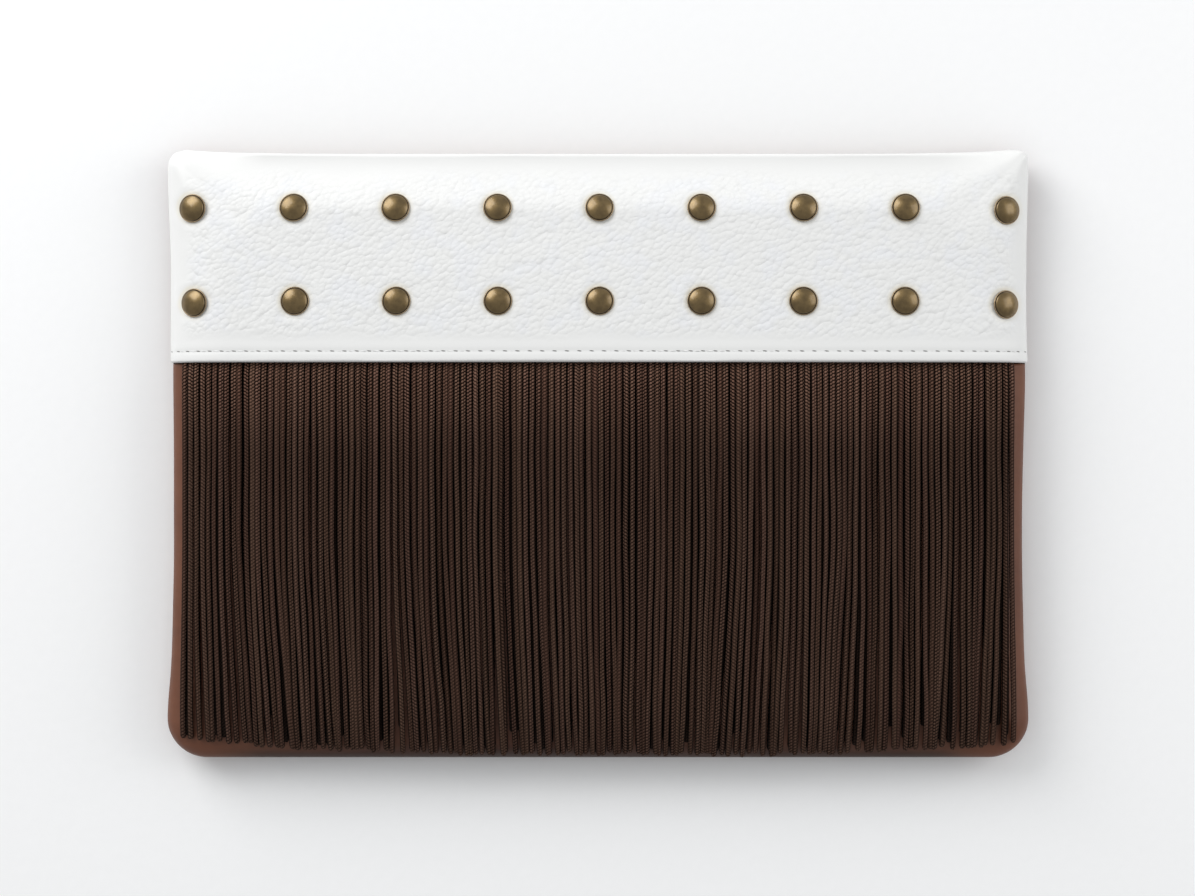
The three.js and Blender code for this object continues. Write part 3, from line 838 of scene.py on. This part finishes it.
def cord_paths(row, start, lift, ends):
    """Centre lines of a row's cords from under the hem to their ends, how far each has come out,
    and the length along each.

    A cord hangs straight at first and drifts aside over its lower half. Neighbours drift alike
    by the table, gather in clumps that a slow noise picks, waver on their own, and droop to the
    leather over their last tenth."""
    count, seed = row.count, row.seed
    number = np.arange(count)[:, None]
    share = cord_shares(row.rings)
    top = HEM_EDGE + 1.2
    v = top + (ends[:, None] - top) * share
    aside = curve_through(DRIFT_ACROSS, DRIFT_ASIDE, start / FRINGE_HALF)[:, None]
    clump = soft_noise(start / 7.5, np.zeros(count), seed)[:, None]
    own = (hashed(np.arange(count), 3.0, seed) - 0.5)[:, None]
    late = smoothstep(0.42, 1.08, share)
    inner = smoothstep(0.0, 5.0, FRINGE_HALF - np.abs(start))[:, None]
    x = start[:, None] + aside * late
    x = x + inner * (0.9 * clump * late + row.restless * 1.5 * own * share ** 3)
    shared = soft_noise(number * 0.55 + seed, share * 4.5, seed + 1)
    x = x + inner * 0.3 * shared * smoothstep(0.02, 0.3, share)
    x = x + inner * row.restless * 0.17 * soft_noise(number * 7.3, share * 9.0, seed + 2) * share
    v = np.broadcast_to(v, x.shape)
    points = on_skin(FRONT_SIDE, x / width_at(x, v), v, np.zeros(x.shape))
    emerge = smoothstep(0.3, 6.5, top - v)
    settled = smoothstep(0.05, 0.4, share)
    sunk = 0.75 * (hashed(np.arange(count), 6.0, seed) > 0.84)[:, None]
    uneven = 0.3 * soft_noise(number * 3.1, share * 3.0, seed + 3) - sunk
    raised = HEM_LIFT + (lift - HEM_LIFT) * emerge + uneven * settled * row.restless
    points[..., 2] += raised + (END_LIFT - raised) * 0.75 * smoothstep(0.9, 1.0, share)
    length = np.linalg.norm(np.diff(points, axis=1), axis=-1)
    length = np.concatenate([np.zeros((count, 1)), np.cumsum(length, axis=1)], axis=1)
    return points, emerge, length


def make_cords(row, start, lift, ends, *nodes):
    """Cords along their paths, flat where they leave the tape and then round, with blunt ends."""
    points, emerge, length = cord_paths(row, start, lift, ends)
    count, rings, sides, seed = row.count, row.rings, row.sides, row.seed
    tangent = np.gradient(points, axis=1)
    tangent /= np.linalg.norm(tangent, axis=-1, keepdims=True)
    aside = np.cross(tangent, np.array([0.0, 0.0, 1.0]))
    aside /= np.linalg.norm(aside, axis=-1, keepdims=True)
    upward = np.cross(aside, tangent)
    spread = hashed(np.arange(count), 1.0, seed + 6)[:, None]
    share = cord_shares(rings)
    radius = row.radius * (0.93 + 0.14 * spread) * (1.12 - 0.12 * smoothstep(0.05, 0.3, share))
    radius = radius * (1 + 0.04 * soft_noise(np.arange(count)[:, None], share * 12, seed))
    radius = radius * (1 - 0.3 * (share == 1))
    height = radius * (0.4 + 0.52 * emerge)
    angle = 2 * np.pi * np.arange(sides) / sides
    sideways = (radius[..., None] * np.cos(angle))[..., None] * aside[:, :, None, :]
    upright = (height[..., None] * np.sin(angle))[..., None] * upward[:, :, None, :]
    tubes = points[:, :, None, :] - sideways + upright
    shift = hashed(np.arange(count), 2.0, seed)[:, None]
    uvs = tube_uvs(count, rings, sides, length / KNIT_PITCH + shift)
    tone = np.broadcast_to(hashed(np.arange(count), 4.0, seed)[:, None, None], tubes.shape[:3])
    marks = {"tone": tone, "deep": np.full(tubes.shape[:3], row.deep)}
    cords = make_piece(row.name, tubes, tube_faces(count, rings, sides), KNITTED_CORD, uvs, marks)
    dress(cords, "fringe_cord", *nodes)


def row_places(row):
    """Even places across the bag for a row's cords, their numbers, and how low the table ends them."""
    even = np.linspace(-row.half, row.half, row.count)
    return even, np.arange(row.count), curve_through(END_ACROSS, END_UP, even / FRINGE_HALF)


def make_fringe():
    """A close front row of cords, and a looser row under it that ends sooner."""
    even, number, ends = row_places(FRONT_ROW)
    start = even + 0.2 * (2 * hashed(number, 8.0, 1) - 1)
    ends = ends + 1.3 * (hashed(number, 9.0, 2) - 0.5)
    lift = FRONT_ROW.lift + 0.4 * (hashed(number, 5.0, 3) - 0.5)[:, None]
    make_cords(FRONT_ROW, start, lift, ends, "fringe")
    even, number, ends = row_places(UNDER_ROW)
    start = even + 0.5 * (2 * hashed(number, 8.0, 5) - 1)
    ends = ends + 1.5 + 9.0 * hashed(number, 9.0, 6) ** 2
    make_cords(UNDER_ROW, start, UNDER_ROW.lift, ends)


def make_tape():
    """The woven tape under the hem, a flat strip from which the cords hang."""
    half = BAG_WIDTH / 2 - EDGE_ROLL
    u = np.linspace(-half, half, 160)[None, :]
    low, high = HEM_EDGE - 1.6, HEM_EDGE + TAPE_TUCK
    edge = [(low, 0.0), (low, TAPE_WALL), (high, TAPE_WALL), (high, 0.0)]
    v = np.array([pair[0] for pair in edge])[:, None] + np.zeros(u.shape)
    raised = np.array([pair[1] for pair in edge])[:, None] + CLEARANCE
    points = on_skin(FRONT_SIDE, u / width_at(u, v), v, np.zeros(v.shape))
    points[..., 2] += raised
    # The tape is marked deep, so it is darkened with painted shade under the hem.
    marks = {"tone": np.full(v.shape, 0.3), "deep": np.ones(v.shape)}
    tape = make_piece("fringe_tape", points, shell_faces(4, u.shape[1]), KNITTED_CORD, marks=marks)
    dress(tape, "fringe_cord")


# The hardware

def lathed(profile, sides):
    """A profile of radius and height turned about the upright axis, with both poles closed."""
    angle = 2 * np.pi * np.arange(sides) / sides
    radius, height = profile[:, 0], profile[:, 1]
    points = np.stack([radius[:, None] * np.cos(angle), radius[:, None] * np.sin(angle),
                       np.repeat(height[:, None], sides, 1)], -1)
    r, c = grid_quads(len(profile), sides, wrap_columns=True)
    ring = np.arange(sides)
    faces = [r * sides + c % sides, ring[None, ::-1], (len(profile) - 1) * sides + ring[None, :]]
    return points, faces


def cap_profile():
    """A flat base under the leather, a post, the cap's raised rim, its shoulder and its low dome.

    The shoulder is an arc that meets a larger arc, the dome, at a slope of DOME_SLOPE degrees."""
    under = -LEATHER_WALL - CLEARANCE - 0.9
    base = np.array([[0.05, under - 0.8], [BASE_RADIUS - 0.15, under - 0.8],
                     [BASE_RADIUS, under - 0.65], [BASE_RADIUS, under - 0.1],
                     [BASE_RADIUS - 0.1, under], [POST_RADIUS, under], [POST_RADIUS, 0.02], [4.3, 0.0]])
    rim = np.array([[CAP_RADIUS - 0.10, 0.03], [CAP_RADIUS - 0.02, 0.12], [CAP_RADIUS, 0.24],
                    [CAP_RADIUS - 0.05, 0.37], [CAP_RADIUS - 0.15, 0.45], [CAP_RADIUS - 0.27, 0.46],
                    [CAP_RADIUS - 0.38, 0.40], [CAP_RADIUS - 0.46, 0.31], [CAP_RADIUS - 0.52, 0.28]])
    turn = np.radians(np.linspace(4, 62, 8))
    shoulder = np.stack([CAP_RADIUS - 1.24 + 0.7 * np.cos(turn), 0.42 + 0.7 * np.sin(turn)], -1)
    edge, slope = shoulder[-1], math.radians(DOME_SLOPE)
    arc = edge[0] / math.sin(slope)
    lean = slope * np.linspace(1, 0, 13)[1:]
    dome = np.stack([arc * np.sin(lean), edge[1] + arc * (np.cos(lean) - math.cos(slope))], -1)
    dome[-1, 0] = 0.05
    return np.concatenate([base, rim, shoulder, dome])


def seat_frame(u, v):
    """A point on the band's face and three axes there: across, up the bag and outwards."""
    near = np.array([0.0, 1.0, -1.0, 0.0, 0.0])
    over = np.array([0.0, 0.0, 0.0, 1.0, -1.0])
    at = on_skin(BAND_SIDE, u + near, v + over, np.zeros(5))
    across, up = at[1] - at[2], at[3] - at[4]
    outward = np.cross(across, up)
    outward /= np.linalg.norm(outward)
    across = across / np.linalg.norm(across)
    return at[0], across, np.cross(outward, across), outward


def make_rivets():
    """Each rivet as one turned solid on its own seat."""
    profile = cap_profile()
    points, faces = lathed(profile, RIVET_SIDES)
    radius = np.repeat(profile[:, :1], RIVET_SIDES, 1)
    # The rim's mark carries a painted highlight.
    marks = {"groove": bell(radius, CAP_RADIUS - 0.52, 0.1),
             "rim_highlight": smoothstep(CAP_RADIUS - 0.42, CAP_RADIUS - 0.25, radius)}
    for name, u, v in RIVETS:
        seat, across, up, outward = seat_frame(u, v)
        placed = seat + points @ np.stack([across, up, outward])
        rivet = make_piece(f"{name}_cap", placed, faces, ANTIQUE_BRASS, marks=marks)
        dress(rivet, "antique_brass", name)


def make_snap():
    """Two discs that meet, with a fine groove between them, each flat against its own wall."""
    profile = np.array([
        [0.05, 0.0], [SNAP_RADIUS - 0.5, 0.0], [SNAP_RADIUS - 0.12, 0.02], [SNAP_RADIUS, 0.08],
        [SNAP_RADIUS, 0.44], [SNAP_RADIUS - 0.15, 0.47], [SNAP_RADIUS - 0.8, 0.48],
        [SNAP_RADIUS - 0.8, 0.52], [SNAP_RADIUS - 0.15, 0.53], [SNAP_RADIUS, 0.56],
        [SNAP_RADIUS, 0.92], [SNAP_RADIUS - 0.12, 0.98], [SNAP_RADIUS - 0.5, 1.0], [0.05, 1.0],
    ])
    points, faces = lathed(profile, 48)
    x, y, share = points[..., 0], points[..., 1] + HALF_HEIGHT - SNAP_DOWN, points[..., 2]
    depth = np.full(x.shape, FOLD_WALL + CLEARANCE)
    low = np.maximum(on_skin(BACK_SIDE, x, y, depth)[..., 2], SEAM_HEIGHT - 4.5)
    high = np.minimum(on_skin(BAND_SIDE, x, y, depth)[..., 2], SEAM_HEIGHT + 4.5)
    points = np.stack([x, y, low + (high - low) * share], -1)
    snap = make_piece("snap_discs", points, faces, SNAP_STEEL)
    dress(snap, "snap_steel", "snap")


def make_stage():
    """A plain pale floor, a soft lamp low at each side, the left one stronger, and a dim sky."""
    mesh = bpy.data.meshes.new("floor")
    reach = 6.0
    mesh.from_pydata([(-reach, -reach, -0.0002), (reach, -reach, -0.0002), (reach, reach, -0.0002),
                      (-reach, reach, -0.0002)], [], [(0, 1, 2, 3)])
    floor = bpy.data.objects.new("floor", mesh)
    bpy.context.scene.collection.objects.link(floor)
    floor.data.materials.append(pale_floor())
    world = Finish("studio", bpy.data.worlds.new("studio"))
    facing = world.node("ShaderNodeTexCoord", output="Generated")
    towards_mouth = world.axis(facing, "Y")
    sky = {"Color": (0.97, 0.985, 1.0), "Strength": towards_mouth * 0.15 + 0.56}
    world.end(world.node("ShaderNodeBackground", None, sky), "ShaderNodeOutputWorld")
    bpy.context.scene.world = world.owner
    soft_light("left_light", (-0.75, 0.8, 0.7), 0.85, 10.2)
    soft_light("right_light", (0.9, 0.25, 0.56), 0.7, 3.0)


def soft_light(name, place, size, power):
    """A square lamp that faces the bag."""
    lamp = bpy.data.lights.new(name, "AREA")
    lamp.shape = "SQUARE"
    lamp.size = size
    lamp.energy = power
    light = bpy.data.objects.new(name, lamp)
    bpy.context.scene.collection.objects.link(light)
    x, y, z = place
    light.location = place
    light.rotation_euler = (math.atan2(math.hypot(x, y), z), 0.0, math.atan2(x, -y))


def make_camera():
    """Straight above the bag, with the mouth at the top of the picture."""
    lens = bpy.data.cameras.new("camera")
    lens.lens = 100.0
    lens.sensor_width = 36.0
    lens.sensor_fit = "HORIZONTAL"
    camera = bpy.data.objects.new("camera", lens)
    bpy.context.scene.collection.objects.link(camera)
    camera.location = (-0.00016, 0.0018, 1.1039)
    bpy.context.scene.camera = camera


make_camera()
make_stage()
make_band()
hem_thread()
make_front()
make_back()
make_tape()
make_fringe()
make_rivets()
make_snap()
bpy.context.scene.view_settings.view_transform = "Standard"
